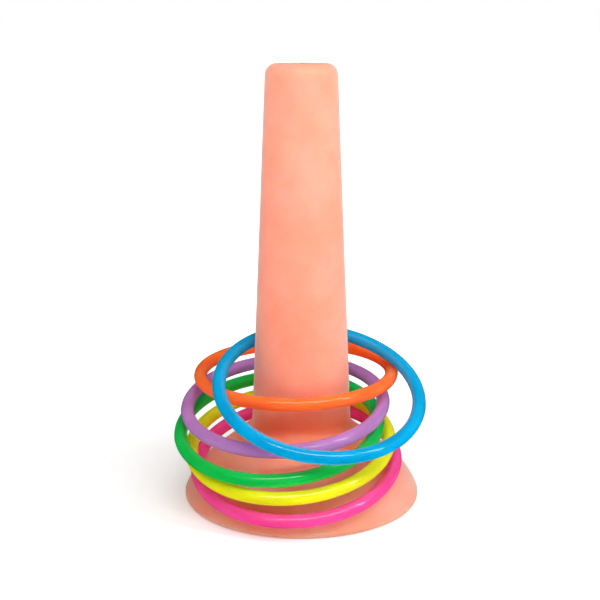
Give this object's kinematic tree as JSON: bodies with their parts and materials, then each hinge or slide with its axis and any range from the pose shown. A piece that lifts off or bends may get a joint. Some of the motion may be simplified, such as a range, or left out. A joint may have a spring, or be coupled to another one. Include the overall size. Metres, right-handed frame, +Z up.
{
  "type": "ring toss set",
  "caption": "Tabletop ring toss set: plain tapered soft vinyl peg on a hollow suction base, with glossy round-section toss rings lying loosely over it.",
  "frame": {"origin": "centre of the base's table face, on the post's axis", "axes": "+Z up along the post, -Y towards the side where most of the rings lie lowest, +X to its right"},
  "size_m": [0.0901, 0.0973, 0.1565],
  "materials": {
    "post_vinyl": "soft moulded vinyl, satin, slightly translucent",
    "ring_plastic_pink": "bright glossy plastic, slightly translucent",
    "ring_plastic_yellow": "bright glossy plastic, slightly translucent",
    "ring_plastic_green": "bright glossy plastic, slightly translucent",
    "ring_plastic_purple": "bright glossy plastic, slightly translucent",
    "ring_plastic_orange": "bright glossy plastic, slightly translucent",
    "ring_plastic_blue": "bright glossy plastic, slightly translucent"
  },
  "bodies": {
    "post": {"toss_post": "post_vinyl"},
    "pink_ring": {"ring_pink": "ring_plastic_pink"},
    "yellow_ring": {"ring_yellow": "ring_plastic_yellow"},
    "green_ring": {"ring_green": "ring_plastic_green"},
    "purple_ring": {"ring_purple": "ring_plastic_purple"},
    "orange_ring": {"ring_orange": "ring_plastic_orange"},
    "blue_ring": {"ring_blue": "ring_plastic_blue"}
  },
  "joints": [
    {"name": "pink_ring_lift", "type": "slide", "parent": "post", "child": "pink_ring", "axis": [0, 0, 1], "range_m": [0, 0.156]},
    {"name": "yellow_ring_lift", "type": "slide", "parent": "pink_ring", "child": "yellow_ring", "axis": [0, 0, 1], "range_m": [0, 0.149]},
    {"name": "green_ring_lift", "type": "slide", "parent": "yellow_ring", "child": "green_ring", "axis": [0, 0, 1], "range_m": [0, 0.144]},
    {"name": "purple_ring_lift", "type": "slide", "parent": "green_ring", "child": "purple_ring", "axis": [0, 0, 1], "range_m": [0, 0.135]},
    {"name": "orange_ring_lift", "type": "slide", "parent": "purple_ring", "child": "orange_ring", "axis": [0, 0, 1], "range_m": [0, 0.122]},
    {"name": "blue_ring_lift", "type": "slide", "parent": "orange_ring", "child": "blue_ring", "axis": [0, 0, 1], "range_m": [0, 0.133]}
  ]
}
